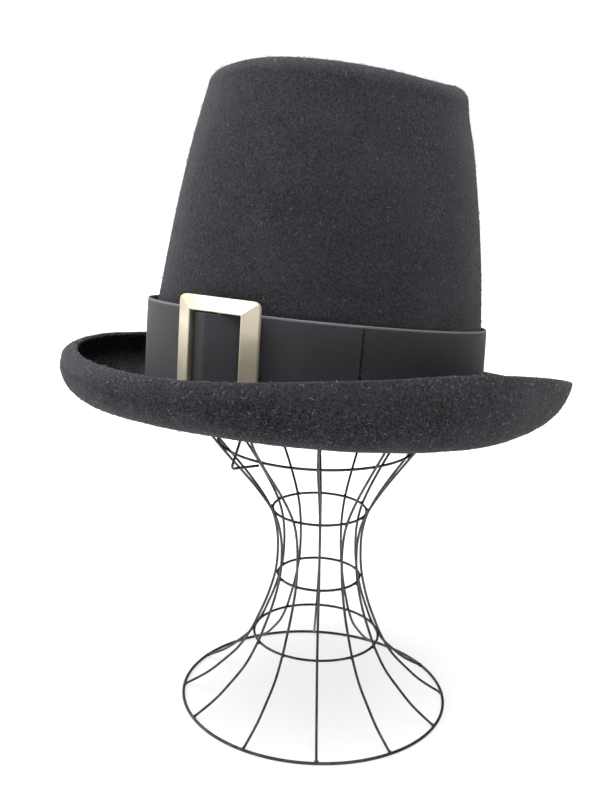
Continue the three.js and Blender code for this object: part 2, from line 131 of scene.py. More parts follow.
# What each millimetre of curl does to the roll: out at its foot, and out and up below its rim
CURL_FOOT = 0.6
CURL_OUT = 0.75
CURL_UP = 0.09
FOOT_RISE = 6
FOOT_SPREAD = 0.45

RIBBON_THICKNESS = 0.8
HALF_RIBBON = RIBBON_THICKNESS / 2
RIBBON_ROOM = 1.0  # from the ribbon's inner side to what lies on it
RIBBON_BOTTOM = 5
RIBBON_TOP = 46
RIBBON_WIDTH = RIBBON_TOP - RIBBON_BOTTOM

# How far the ribbon stands off the crown at its bottom and top edges, and how much more it does
# at one azimuth
RIBBON_OFF = (1.3, 3.2)
RIBBON_OFF_MORE = (0.15, 1.4)
RIBBON_OFF_MORE_AT = 308

# Where the ribbon starts and, a turn later, ends, and where and how far its end rises over its start
LAP_START = 24
LAP_END = 40
LAP_RISE = (17, 23)
LAP_LIFT = 1.3

# General curves


def spline(at, values):
    """A smooth curve through a table's values."""
    at = np.array(at, float)
    values = np.array(values, float)
    slope = np.empty_like(values)
    slope[1:-1] = (values[2:] - values[:-2]) / (at[2:] - at[:-2])
    slope[0] = (3 * (values[1] - values[0]) / (at[1] - at[0]) - slope[1]) / 2
    slope[-1] = (3 * (values[-1] - values[-2]) / (at[-1] - at[-2]) - slope[-2]) / 2

    def curve(t):
        t = np.asarray(t, float)
        i = np.clip(np.searchsorted(at, t, side="right") - 1, 0, len(at) - 2)
        step = at[i + 1] - at[i]
        s = (t - at[i]) / step
        left = (1 + 2 * s) * (1 - s) ** 2 * values[i] + s * (1 - s) ** 2 * step * slope[i]
        right = s * s * (3 - 2 * s) * values[i + 1] - s * s * (1 - s) * step * slope[i + 1]
        return left + right

    return curve


def round_spline(azimuths, values):
    """The same for a table that goes once round the hat."""
    at = np.concatenate([np.array(azimuths) + turn for turn in (-360, 0, 360)])
    curve = spline(at, values * 3)
    return lambda azimuth: curve(np.mod(azimuth, 360))


def bezier(points, t):
    """A Bezier curve through arrays of control points, at a share t of its way."""
    while len(points) > 1:
        points = [a + (b - a) * t for a, b in zip(points, points[1:])]
    return points[0]


def smooth_step(t, start, end):
    s = np.clip((t - start) / (end - start), 0, 1)
    return s * s * (3 - 2 * s)


def bump_at(t, middle, width):
    """1 at the middle, falling smoothly to nothing a few widths away."""
    return np.exp(-(((t - middle) / width) ** 2))


def turn_from(azimuth, middle):
    """Degrees from the middle azimuth, from -180 to 180."""
    return np.mod(azimuth - middle + 180, 360) - 180


def running_sum(steps):
    return np.concatenate([[0], np.cumsum(steps)])


crown = {key: spline(CROWN["height"], CROWN[key]) for key in CROWN if key != "height"}
brim = {key: round_spline(BRIM["azimuth"], BRIM[key]) for key in BRIM if key != "azimuth"}
top_edge = round_spline(TOP_EDGE["azimuth"], TOP_EDGE["height"])


def crown_point(azimuth, height, out):
    """The point of the crown's oval at a height, moved out square to the oval."""
    turn = np.radians(azimuth)
    width = crown["half_width"](height)
    length = crown["half_length"](height)
    square_x = length * np.sin(turn)
    square_y = -width * np.cos(turn)
    size = np.hypot(square_x, square_y)
    x = width * np.sin(turn) + crown["left"](height) + out * square_x / size
    y = -length * np.cos(turn) - crown["forward"](height) + out * square_y / size
    return np.stack(np.broadcast_arrays(x, y, height), -1)


# General meshes

SEED_STEP = 17.3  # moves each seed's noise to a place of its own
NO_WAY = (0.3, 0.2, 0.93)  # a direction that no tube starts in


def new_mesh(name, points, faces, place=Matrix.Identity(4), smooth=True):
    """A mesh object from points in millimetres, set in place."""
    data = bpy.data.meshes.new(name)
    moved = np.array(points, float) @ np.array(place.to_3x3()).T * MM + np.array(place.translation)
    data.from_pydata(moved.tolist(), [], faces)
    data.polygons.foreach_set("use_smooth", [smooth] * len(data.polygons))
    data.update()
    made = bpy.data.objects.new(name, data)
    bpy.context.scene.collection.objects.link(made)
    return made


def grid_faces(rows, columns, close_rows, close_columns, first=0):
    """Quads over a grid of points, numbered row by row."""
    i = np.arange(rows if close_rows else rows - 1)
    j = np.arange(columns if close_columns else columns - 1)
    i, j = (side.ravel() for side in np.meshgrid(i, j, indexing="ij"))
    down = (i + 1) % rows
    across = (j + 1) % columns
    quads = [i * columns + j, down * columns + j, down * columns + across, i * columns + across]
    return (np.stack(quads, 1) + first).tolist()


def grid_normals(points, close_columns=True):
    """Unit normals of a grid of points, square to its rows and columns."""
    down = np.gradient(points, axis=0)
    if close_columns:
        across = np.roll(points, -1, axis=1) - np.roll(points, 1, axis=1)
    else:
        across = np.gradient(points, axis=1)
    normal = np.cross(down, across)
    return normal / np.linalg.norm(normal, axis=-1, keepdims=True)


def tube_faces(steps, sides, first=0, close=False):
    """The faces of a tube. An open one ends in two caps, which are the last faces."""
    faces = grid_faces(steps, sides, close, True, first)
    if not close:
        faces.append([first + k for k in reversed(range(sides))])
        faces.append([first + (steps - 1) * sides + k for k in range(sides)])
    return faces


def tube_points(path, radius, sides, close=False):
    """Rings of points round a path. The radius may be one for each step."""
    path = np.asarray(path, float)
    if close:
        along = np.roll(path, -1, axis=0) - np.roll(path, 1, axis=0)
    else:
        along = np.gradient(path, axis=0)
    along /= np.linalg.norm(along, axis=1, keepdims=True)
    side = np.cross(along[0], NO_WAY)
    rings = []
    turn = np.arange(sides) / sides * 2 * np.pi
    for place, way, size in zip(path, along, np.broadcast_to(radius, len(path))):
        side = side - way * side.dot(way)
        side /= np.linalg.norm(side)
        other = np.cross(way, side)
        rings.append(place + size * (np.outer(np.cos(turn), side) + np.outer(np.sin(turn), other)))
    return np.concatenate(rings)


def soft_noise(points, height, size, seed):
    """Smooth noise at points, up to about the given height, with lumps of the given size."""
    flat = points.reshape(-1, 3) / size + seed * SEED_STEP
    values = [noise.noise(Vector(point)) for point in flat]
    return height * np.array(values).reshape(points.shape[:-1])


def lay_flat(piece, along, across):
    """Gives each vertex its place on the flat cut, in metres."""
    flat = np.stack(np.broadcast_arrays(along[:, None], across[None, :]), -1).reshape(-1, 2)
    layer = piece.data.uv_layers.new(name="cut")
    loops = np.empty(len(piece.data.loops), int)
    piece.data.loops.foreach_get("vertex_index", loops)
    layer.data.foreach_set("uv", flat[loops].ravel() * MM)


def finish_piece(piece, material, slot, *nodes, sharp=None):
    """Edges that turn more than the sharp angle, in degrees, aren't smoothed."""
    piece.data.materials.append(material)
    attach(piece, "root")
    if nodes:
        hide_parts(*nodes)
    if sharp:
        piece.data.set_sharp_from_angle(angle=math.radians(sharp))


# Materials. Their lengths are in metres

CROWN_NAP_FROM = (0.212, 0.228)  # the heights between which the brim's coarser nap ends
TOP_EDGE_HIGHLIGHT = (0.0402, 0.0405)  # where the painted highlight along the ribbon's top edge begins, across the ribbon


class Surface:
    """A material's nodes, round its one shader."""

    def __init__(self, name, **values):
        self.material = bpy.data.materials.new(name)
        self.material.use_nodes = True
        self.tree = self.material.node_tree
        self.shader = self.tree.nodes["Principled BSDF"]
        for key, value in values.items():
            self.shader.inputs[key.replace("_", " ")].default_value = value

    def add(self, kind, inputs, **settings):
        made = self.tree.nodes.new(kind)
        for key, value in settings.items():
            setattr(made, key, value)
        for key, value in inputs.items():
            self.set(made.inputs[key], value)
        return made

    def set(self, socket, value):
        if isinstance(value, bpy.types.NodeSocket):
            self.tree.links.new(value, socket)
        else:
            socket.default_value = value

    def drive(self, name, value):
        """Links a value to the shader."""
        self.set(self.shader.inputs[name], value)

    def place(self, kind="Object"):
        return self.add("ShaderNodeTexCoord", {}).outputs[kind]

    def part(self, vector, axis):
        return self.add("ShaderNodeSeparateXYZ", {"Vector": vector}).outputs[axis]

    def noise(self, at, scale, detail=2.0, distortion=0.0, roughness=0.5):
        values = {
            "Vector": at,
            "Scale": scale,
            "Detail": detail,
            "Distortion": distortion,
            "Roughness": roughness,
        }
        return self.add("ShaderNodeTexNoise", values).outputs["Fac"]

    def bands(self, at, way, scale, distortion, detail):
        values = {"Vector": at, "Scale": scale, "Distortion": distortion, "Detail": detail}
        return self.add("ShaderNodeTexWave", values, bands_direction=way).outputs["Fac"]

    def math(self, operation, a, b=0.0, clamp=False):
        made = self.add("ShaderNodeMath", {0: a, 1: b}, operation=operation, use_clamp=clamp)
        return made.outputs[0]

    def sum(self, a, b):
        return self.math("ADD", a, b)

    def times(self, a, b):
        return self.math("MULTIPLY", a, b)

    def spread(self, value, low, high, to_low=0.0, to_high=1.0):
        values = {"Value": value, "From Min": low, "From Max": high}
        values.update({"To Min": to_low, "To Max": to_high})
        return self.add("ShaderNodeMapRange", values, clamp=True).outputs["Result"]

    def mix(self, share, a, b):
        made = self.add("ShaderNodeMix", {"Factor": share}, data_type="RGBA")
        self.set(made.inputs[6], a)
        self.set(made.inputs[7], b)
        return made.outputs[2]

    def stretch(self, at, scale):
        return self.add("ShaderNodeMapping", {"Vector": at, "Scale": scale}).outputs["Vector"]

    def bump(self, height, distance, strength=1.0):
        values = {"Height": height, "Distance": distance, "Strength": strength}
        self.drive("Normal", self.add("ShaderNodeBump", values).outputs["Normal"])


def felt_material():
    s = Surface(
        "wool_felt",
        Roughness=0.95,
        Sheen_Weight=0.11,
        Sheen_Roughness=0.42,
        Sheen_Tint=(0.62, 0.63, 0.66, 1),
        Specular_IOR_Level=0.12,
    )
    at = s.place()
    coarse = s.spread(s.part(at, "Z"), *CROWN_NAP_FROM, 1.0, 0.0)
    # Curly fibres: thin lines where a noise crosses its middle
    lines = s.math("ABSOLUTE", s.math("SUBTRACT", s.noise(at, 330, 3, 1.4), 0.5))
    fibres = s.spread(lines, 0.0, 0.045, 1.0, 0.0)
    where = s.spread(s.noise(at, 700, 2), 0.42, 0.62)
    fibres = s.times(fibres, where)
    fine = s.noise(at, 1050, 3, 0.5, 0.7)
    patches = s.noise(at, 26, 3)
    tone = s.sum(s.spread(fine, 0.3, 0.72), s.times(fibres, 0.6))
    tone = s.sum(tone, s.spread(patches, 0.3, 0.7, -0.12, 0.12))
    # More contrast on the brim
    middle = s.math("SUBTRACT", tone, 0.62)
    tone = s.sum(tone, s.times(middle, s.times(coarse, 0.7)))
    dark = (0.0055, 0.0052, 0.0066, 1)
    light = (0.075, 0.073, 0.084, 1)
    s.drive("Base Color", s.mix(s.math("MULTIPLY", tone, 0.62, True), dark, light))
    s.bump(s.sum(s.times(fine, 0.6), s.times(fibres, 0.8)), 0.0006, 0.6)
    return s.material


def ribbon_material():
    # The threads run along the ribbon, so its sheen spreads from edge to edge
    s = Surface(
        "ribbon_weave",
        Roughness=0.72,
        Anisotropic=0.85,
        Anisotropic_Rotation=0.25,
        Specular_IOR_Level=1.0,
        Specular_Tint=(0.92, 0.91, 1.0, 1),
    )
    at = s.place("UV")
    # Fine ribs across the ribbon, 0.5 mm apart, and closer threads along it
    ribs = s.bands(at, "X", 640, 0.35, 2)
    threads = s.bands(at, "Y", 1100, 0.3, 1)
    uneven = s.noise(s.stretch(at, (1, 0.12, 1)), 900, 2)
    slubs = s.noise(s.stretch(at, (1, 0.5, 1)), 650, 3)
    tone = s.sum(s.times(ribs, 0.5), s.times(uneven, 0.6))
    cloth = s.mix(tone, (0.004, 0.004, 0.005, 1), (0.014, 0.0137, 0.016, 1))
    # Painted highlight: the ribbon's top edge is paler, where it catches the light from above
    edge = s.spread(s.part(at, "Y"), *TOP_EDGE_HIGHLIGHT)
    s.drive("Base Color", s.mix(edge, cloth, (0.12, 0.12, 0.125, 1)))
    s.drive("Roughness", s.spread(uneven, 0.3, 0.7, 0.68, 0.78))
    weave = s.sum(ribs, s.times(threads, 0.35))
    s.bump(s.sum(weave, s.times(slubs, 1.6)), 0.00012, 0.6)
    return s.material


def buckle_material():
    s = Surface("pale_gold_plate", Metallic=0.9, Roughness=0.5)
    at = s.place()
    brushed = s.noise(s.stretch(at, (60, 60, 1400)), 1, 3)
    blotch = s.noise(at, 55, 4, 0.5)
    specks = s.spread(s.noise(at, 900, 2), 0.66, 0.74)
    clean = (0.77, 0.71, 0.575, 1)
    dull = (0.62, 0.56, 0.43, 1)
    speck = (0.38, 0.32, 0.24, 1)
    tone = s.mix(s.spread(blotch, 0.38, 0.66), clean, dull)
    s.drive("Base Color", s.mix(s.times(specks, 0.35), tone, speck))
    s.drive("Roughness", s.spread(blotch, 0.3, 0.7, 0.56, 0.66))
    s.bump(s.sum(s.times(brushed, 0.5), specks), 0.00004, 0.35)
    return s.material


def wire_material():
    s = Surface("dark_steel_wire", Metallic=0.85, Roughness=0.38)
    at = s.place()
    worn = s.noise(at, 160, 4, 0.4)
    grain = s.noise(at, 2400, 2)
    dark = (0.050, 0.055, 0.056, 1)
    light = (0.115, 0.120, 0.118, 1)
    s.drive("Base Color", s.mix(s.spread(worn, 0.42, 0.68), dark, light))
    s.drive("Roughness", s.spread(worn, 0.3, 0.7, 0.32, 0.52))
    s.bump(grain, 0.00003, 0.4)
    return s.material


def lint_material():
    s = Surface("pale_lint", Roughness=0.9, Base_Color=(0.30, 0.30, 0.32, 1))
    tone = s.mix(s.noise(s.place(), 300), (0.10, 0.10, 0.11, 1), (0.44, 0.44, 0.46, 1))
    s.drive("Base Color", tone)
    return s.material


# Matte black without specular, for the short threads that paint the shade under the lap's edge
def lap_shadow_material():
    black = (0.004, 0.004, 0.004, 1)
    s = Surface("painted_lap_shadow", Roughness=1.0, Base_Color=black, Specular_IOR_Level=0.0)
    tone = s.mix(s.noise(s.place(), 900), (0.002, 0.002, 0.002, 1), (0.008, 0.008, 0.009, 1))
    s.drive("Base Color", tone)
    return s.material


def floor_material():
    s = Surface("pale_floor", Roughness=0.8, Emission_Color=(1, 1, 1, 1), Emission_Strength=0.7)
    at = s.place()
    # The floor grows a little paler away from the stand, up to the white behind it
    length = s.add("ShaderNodeVectorMath", {0: at}, operation="LENGTH").outputs["Value"]
    s.drive("Emission Strength", s.spread(length, 0.15, 1.6, 0.7, 1.0))
    s.drive("Base Color", s.mix(s.noise(at, 3, 2), (0.42, 0.42, 0.423, 1), (0.46, 0.46, 0.46, 1)))
    return s.material


# Felt body

COLUMNS = 288
TOP_ROWS = 22
SHOULDER_ROWS = 10
WALL_ROWS = 34
FOOT_ROWS = 12
ROLL_ROWS = 56
RIM_ROWS = 7
BRIM_ROWS = FOOT_ROWS + ROLL_ROWS - 1
TOP_START = 0.012  # the first row's share of the way from the top's middle to its edge

# A shallow dent below the shoulder, on the wearer's left
DENT_DEPTH = 0.8
DENT_AZIMUTH = 100
DENT_TURN = 22
DENT_DOWN = 9
DENT_HEIGHT = 8

# The height, lump size and seed of each wave in the felt
FELT_WAVES = ((0.35, 38, 1), (0.14, 13, 2))

# A faint pressed line along the brim: the height of its ridge and of its groove, their distance
# from the rim and their width
CREASE = ((0.35, 6.5, 1.8), (-0.7, 9.5, 1.3))
CREASE_AZIMUTH = -25
CREASE_TURN = 60


def top_rows(shoulder, edge):
    """The dished top, from beside its middle to its edge."""
    height = (top_edge(0) + top_edge(180)) / 2 - TOP_DISH - HALF_FELT
    middle = np.stack([crown["left"](shoulder), -crown["forward"](shoulder)], -1).mean(axis=0)
    rows = []
    for share in np.linspace(TOP_START, 1, TOP_ROWS, endpoint=False):
        row = edge.copy()
        row[:, :2] = middle + (edge[:, :2] - middle) * share
        row[:, 2] = height + (edge[:, 2] - height) * share**2
        rows.append(row)
    return rows


def shoulder_rows(azimuth, shoulder):
    """The rounded edge of the top, down to the wall."""
    radius = SHOULDER_RADIUS - HALF_FELT
    rows = []
    for lift in np.linspace(np.pi / 2, 0, SHOULDER_ROWS + 1):
        row = crown_point(azimuth, shoulder, radius * np.cos(lift) - SHOULDER_RADIUS)
        row[:, 2] = shoulder + radius * np.sin(lift)
        rows.append(row)
    return rows


def side_rows(azimuth, shoulder):
    """The crown's side, down to where it starts to flare."""
    dent = DENT_DEPTH * bump_at(turn_from(azimuth, DENT_AZIMUTH), 0, DENT_TURN)
    rows = []
    for share in np.linspace(0, 1, WALL_ROWS, endpoint=False)[1:]:
        height = shoulder + (FOOT_RISE - shoulder) * share
        inward = HALF_FELT + dent * bump_at(shoulder - height, DENT_DOWN, DENT_HEIGHT)
        rows.append(crown_point(azimuth, height, -inward))
    return rows


def brim_rows(azimuth):
    """The flare at the crown's foot, and the brim's roll out and up to its rim."""
    low = (brim["low_out"](azimuth), HALF_FELT - brim["low_down"](azimuth))
    rim = (brim["rim_out"](azimuth) - HALF_FELT, brim["rim_up"](azimuth) - HALF_FELT)
    lean = brim["lean"](azimuth)
    curl = brim["curl"](azimuth)
    flat = np.zeros_like(azimuth)
    foot_out = [flat - HALF_FELT, flat - HALF_FELT, FOOT_SPREAD * low[0], low[0]]
    foot_up = [flat + FOOT_RISE, flat, low[1], low[1]]
    near = low[0] + (rim[0] - lean - low[0]) * 2 / 3 + CURL_FOOT * curl
    far = rim[0] - lean * 2 / 3 + CURL_OUT * curl
    roll_out = [low[0], near, far, rim[0] - curl]
    roll_up = [low[1], low[1], low[1] + (rim[1] - low[1]) * (1 / 3 + CURL_UP * curl), rim[1]]
    curves = [(foot_out, foot_up, t) for t in np.linspace(0, 1, FOOT_ROWS)]
    curves += [(roll_out, roll_up, t) for t in np.linspace(0, 1, ROLL_ROWS)[1:]]
    rows = []
    for outs, ups, t in curves:
        up = bezier(ups, t)
        row = crown_point(azimuth, np.maximum(up, 0), bezier(outs, t))
        row[:, 2] = up
        rows.append(row)
    return rows


def wall_middle(azimuth):
    """The middle of the felt's wall, from the middle of the crown's top out to the rim."""
    shoulder = top_edge(azimuth) - SHOULDER_RADIUS
    bend = shoulder_rows(azimuth, shoulder)
    top = top_rows(shoulder, bend[0])
    return np.array(top + bend + side_rows(azimuth, shoulder) + brim_rows(azimuth))


def rim_crease(azimuth, from_rim):
    """How far the pressed line stands out of the brim's outer face."""
    here = bump_at(turn_from(azimuth, CREASE_AZIMUTH), 0, CREASE_TURN)
    return here * sum(height * bump_at(from_rim, middle, width) for height, middle, width in CREASE)


def make_felt(material):
    """Makes the felt, and returns the rows of points from the crown's top round the rim and back."""
    azimuth = np.arange(COLUMNS) * 360 / COLUMNS
    middle = wall_middle(azimuth)
    normal = grid_normals(middle)
    wave = sum(soft_noise(middle, *layer) for layer in FELT_WAVES)
    fade = smooth_step(np.arange(len(middle)), 0, TOP_ROWS / 2)[:, None]
    middle = middle + normal * (wave * fade)[..., None]
    step = np.linalg.norm(np.diff(middle, axis=0), axis=-1)
    from_rim = np.concatenate([np.cumsum(step[::-1], axis=0)[::-1], np.zeros((1, COLUMNS))])
    crease = rim_crease(azimuth[None, :], from_rim)
    outside = middle + normal * HALF_FELT
    inside = middle - normal * (HALF_FELT + crease)[..., None]
    onward = middle[-1] - middle[-2]
    onward /= np.linalg.norm(onward, axis=-1, keepdims=True)
    rim = []
    for turn in np.linspace(np.pi / 2, -np.pi / 2, RIM_ROWS + 2)[1:-1]:
        rim.append(middle[-1] + HALF_FELT * (onward * np.cos(turn) + normal[-1] * np.sin(turn)))
    rows = np.concatenate([outside, np.array(rim), inside[::-1]])
    points = rows.reshape(-1, 3)
    faces = grid_faces(len(rows), COLUMNS, False, True)
    last = (len(rows) - 1) * COLUMNS
    centres = [rows[0].mean(axis=0), rows[-1].mean(axis=0)]
    centre = len(points)
    for j in range(COLUMNS):
        k = (j + 1) % COLUMNS
        faces.append([centre, j, k])
        faces.append([centre + 1, last + k, last + j])
    piece = new_mesh("hat_felt", np.concatenate([points, centres]), faces, HAT)
    finish_piece(piece, material, "felt", "felt_body")
    return rows


# Fibres on the felt: short curved hairs of nap, and paler lint. The shares say how thick they lie
# on the crown, on its shoulder, in the brim's gutter, on its rim and on its outer face

NAP = {
    "count": 7400,
    "shares": (1.0, 1.5, 0.3, 1.6, 1.4),
    "length": (1.0, 2.6),
    "radius": (0.05, 0.09),
    "rise": (0.1, 0.34),
    "curl": 0.25,
}
# Pale lint: real lint, but its thick shares on the shoulder and the rim also paint the sheen that
# light from above puts on these edges
LINT_AND_EDGE_SHEEN = {
    "count": 3000,
    "shares": (0.2, 2.5, 0.1, 6.5, 1.8),
    "length": (0.8, 2.6),
    "radius": (0.035, 0.09),
    "rise": (0.05, 0.35),
    "curl": 0.45,
}
FIBRE_STEPS = 5
FIBRE_SIDES = 3
FIBRE_SUNK = 0.08
FIBRE_SWING = 5  # how far through its wave a fibre gets, in radians
FIBRE_ARCH = 2.6
FIBRE_TAPER = 0.75
RIM_SPILL = (2, 3)  # rows beside the rim that are as thick with fibres
BARE_ROWS = 4  # at the foot of the brim's outer face


def scatter(rows, share, count):
    """Random places on the felt's outer faces, with their normals. Share is each row's density."""
    corner = rows[:-1]
    down = rows[1:] - corner
    across = np.roll(corner, -1, axis=1) - corner
    square = np.cross(down, across)
    area = np.linalg.norm(square, axis=-1)
    chance = (area * share[:-1, None]).ravel()
    cell = rng.choice(chance.size, count, p=chance / chance.sum())
    down, across, corner = (side.reshape(-1, 3)[cell] for side in (down, across, corner))
    places = corner + down * rng.random((count, 1)) + across * rng.random((count, 1))
    normals = square.reshape(-1, 3)[cell] / area.ravel()[cell, None]
    return places, normals


def row_shares(count, shares):
    """How thick the fibres lie on each row, from the crown's top round the rim to the brim's foot."""
    on_crown, on_shoulder, in_gutter, on_rim, on_brim = shares
    rim_start = (count - RIM_ROWS) // 2
    rim_end = rim_start + RIM_ROWS
    share = np.zeros(count)
    share[: rim_start - BRIM_ROWS] = on_crown
    share[TOP_ROWS - 1 : TOP_ROWS + SHOULDER_ROWS // 2] = on_shoulder
    share[rim_start - BRIM_ROWS : rim_start] = in_gutter
    share[rim_start - RIM_SPILL[0] : rim_end + RIM_SPILL[1]] = on_rim
    share[rim_end + RIM_SPILL[1] : rim_end + BRIM_ROWS - BARE_ROWS] = on_brim
    return share


def fibre_points(places, normals, length, radius, rise, curl):
    """Closed tapered hairs that start in the felt and curve along and out of it."""
    count = len(places)

    def one_each(low, high):
        return rng.uniform(low, high, count)[:, None, None]

    way = np.cross(normals, rng.normal(size=(count, 3)))
    way /= np.linalg.norm(way, axis=1, keepdims=True)
    side = np.cross(normals, way)
    long = one_each(*length)
    bend = one_each(-curl, curl)
    lift = one_each(*rise)
    s = np.linspace(0, 1, FIBRE_STEPS)[None, :, None]
    path = places[:, None] - FIBRE_SUNK * normals[:, None]
    path = path + way[:, None] * long * (s - 0.5)
    path = path + side[:, None] * long * bend * np.sin(FIBRE_SWING * s)
    path = path + normals[:, None] * long * lift * np.sin(FIBRE_ARCH * s)
    thick = one_each(*radius) * (1 - FIBRE_TAPER * np.abs(2 * s - 1) ** 3)
    rings = []
    for turn in np.arange(FIBRE_SIDES) * 2 * np.pi / FIBRE_SIDES:
        rings.append(path + thick * (side[:, None] * np.cos(turn) + normals[:, None] * np.sin(turn)))
    return np.stack(rings, 2).reshape(-1, 3)


def make_fibres(name, rows, material, count, shares, **shape):
    places, normals = scatter(rows, row_shares(len(rows), shares), count)
    points = fibre_points(places, normals, **shape)
    tube = tube_faces(FIBRE_STEPS, FIBRE_SIDES)
    first = np.arange(count)[:, None, None] * FIBRE_STEPS * FIBRE_SIDES
    walls = (np.array(tube[:-2]) + first).reshape(-1, 4)
    caps = (np.array(tube[-2:]) + first).reshape(-1, FIBRE_SIDES)
    piece = new_mesh(name, points, walls.tolist() + caps.tolist(), HAT)
    finish_piece(piece, material, "felt")


# Ribbon band

BAND_STEPS = 420
BAND_ROWS = 12
BAND_WAVE = (0.22, 24, 5)
BAND_WAVE_AT_FOOT = 0.35
BAND_EDGE = np.radians([-60, -20, 20, 60])  # the turns of its rounded edge
BAND_SHARP = 50


def ribbon_off(azimuth, share):
    side = np.cos(np.radians(azimuth - RIBBON_OFF_MORE_AT))
    bottom, top = (off + more * side for off, more in zip(RIBBON_OFF, RIBBON_OFF_MORE))
    return bottom + (top - bottom) * share


def ribbon_point(azimuth, share, out):
    """A point off the felt, at a share of the ribbon's width from its bottom edge."""
    height = RIBBON_BOTTOM + RIBBON_WIDTH * share
    return crown_point(azimuth, height, ribbon_off(azimuth, share) + out)


def rounded_edge(middle, outward, normal, turns):
    return [middle + HALF_RIBBON * (outward * np.cos(t) + normal * np.sin(t)) for t in turns]


def make_band(material):
    azimuth = np.linspace(LAP_START, LAP_END + 360, BAND_STEPS)
    under = LAP_LIFT * smooth_step(azimuth, LAP_RISE[0] + 360, LAP_RISE[1] + 360)
    shares = np.linspace(0, 1, BAND_ROWS)
    middle = np.array([ribbon_point(azimuth, share, under + RIBBON_ROOM / 2) for share in shares])
    normal = -grid_normals(middle, False)
    wave = soft_noise(middle, *BAND_WAVE) * (BAND_WAVE_AT_FOOT + shares[:, None])
    middle = middle + normal * wave[..., None]
    up = middle[-1] - middle[-2]
    up /= np.linalg.norm(up, axis=-1, keepdims=True)
    rows = [*(middle - normal * HALF_RIBBON)]
    rows += rounded_edge(middle[-1], up, normal[-1], BAND_EDGE)
    rows += [*(middle + normal * HALF_RIBBON)[::-1]]
    rows += rounded_edge(middle[0], -up, normal[0], BAND_EDGE[::-1])
    rows = np.array(rows).transpose(1, 0, 2)
    along = running_sum(np.linalg.norm(np.diff(middle[BAND_ROWS // 2], axis=0), axis=-1))
    edge = len(BAND_EDGE)
    across = np.concatenate([shares, [1] * edge, shares[::-1], [0] * edge]) * RIBBON_WIDTH
    faces = tube_faces(BAND_STEPS, len(across))
    piece = new_mesh("hat_ribbon", rows.reshape(-1, 3), faces, HAT)
    lay_flat(piece, along, across)
    finish_piece(piece, material, "ribbon", "ribbon_band", sharp=BAND_SHARP)
    return piece


# Threads at the cut end of the lap: short black ones all along it, which paint the shade in the
# line under the lap's edge, and a few long pale frayed ones near its foot. The shares are of the
# ribbon's width, and the reach is how far they stick out

LAP_SHADOW_THREADS = {"count": 90, "shares": (0.0, 0.97), "reach": (1.2, 1.9), "radius": 0.2}
FRAY_LONG = {"count": 7, "shares": (0.1, 0.45), "reach": (2.5, 5.5), "radius": 0.07}
FRAY_STEPS = 7
FRAY_SIDES = 5
FRAY_SUNK = 0.25  # in degrees
FRAY_OUT = 1.25
FRAY_OUT_MORE = 0.3
FRAY_DRIFT = 0.35
FRAY_RISE = (0.05, 0.3)
FRAY_DROOP = 0.35
FRAY_WAVE = 0.12
FRAY_SWING = 5
FRAY_TAPER = 0.6


def make_lap_threads(name, material, count, shares, reach, radius):
    s = np.linspace(0, 1, FRAY_STEPS)
    points, faces = [], []
    for i in range(count):
        share = shares[0] + (shares[1] - shares[0]) * (i + rng.random()) / count
        long = rng.uniform(*reach)
        drift = rng.uniform(-FRAY_DRIFT, FRAY_DRIFT)
        rise = rng.uniform(*FRAY_RISE)
        azimuth = LAP_END - FRAY_SUNK + np.degrees(long * s / CROWN["half_width"][0])
        across = share + long * (drift * s + FRAY_WAVE * np.sin(FRAY_SWING * s + i)) / RIBBON_WIDTH
        start = FRAY_OUT + rng.uniform(-FRAY_OUT_MORE, FRAY_OUT_MORE)
        out = start + rise * long * s - FRAY_DROOP * s
        path = np.array([ribbon_point(*step) for step in zip(azimuth, across, out)])
        faces += tube_faces(FRAY_STEPS, FRAY_SIDES, len(points) * FRAY_STEPS * FRAY_SIDES)
        points.append(tube_points(path, radius * (1 - FRAY_TAPER * s), FRAY_SIDES))
    piece = new_mesh(name, np.concatenate(points), faces, HAT)
    finish_piece(piece, material, "ribbon")


# Buckle, with x across, z up, and out towards -y from its back

BUCKLE_WIDTH = 43.5
BUCKLE_HEIGHT = 49.2
BUCKLE_AZIMUTH = -1.6
BUCKLE_MIDDLE = 28.0  # its height above the hat's foot
BUCKLE_BAR = 8.0
BUCKLE_TOP_BAR = 6.6
BUCKLE_CORNER = 3.5
BUCKLE_LEAST_CORNER = 0.12
BUCKLE_STAND_OFF = 0.65
BUCKLE_SIDE = 2.0  # the depth of its outer side
BUCKLE_CREST = 5.4
BUCKLE_CREST_INSET = 7.3
BUCKLE_SHARP = 16
CORNER_STEPS = 10

# The small chamfers of the frame's section, each as inset and depth
BACK_CHAMFER = (0.25, 0.3)
SIDE_CHAMFER = (0.3, 0.25)
WINDOW_CHAMFER = (0.2, 0.35)
WINDOW_ROUND = 0.05  # the depth at the top of the window's chamfer

# The centre bar, hidden behind the loop of ribbon
CENTRE_RADIUS = 0.8
CENTRE_WIDER = 1.5
CENTRE_DEPTH = 0.9
CENTRE_LAP = 2
CENTRE_STEPS = 6
CENTRE_SIDES = 12


def buckle_place():
    low = Vector(ribbon_point(BUCKLE_AZIMUTH, 0, RIBBON_ROOM))
    high = Vector(ribbon_point(BUCKLE_AZIMUTH, 1, RIBBON_ROOM))
    point = low.lerp(high, (BUCKLE_MIDDLE - low.z) / (high.z - low.z))
    point.y -= BUCKLE_STAND_OFF
    turn = math.radians(BUCKLE_AZIMUTH) * CROWN["half_length"][0] / CROWN["half_width"][0]
    lean = math.atan2(low.y - high.y, high.z - low.z)
    return (
        HAT
        @ Matrix.Translation(point * MM)
        @ Matrix.Rotation(turn, 4, "Z")
        @ Matrix.Rotation(lean, 4, "X")
    )


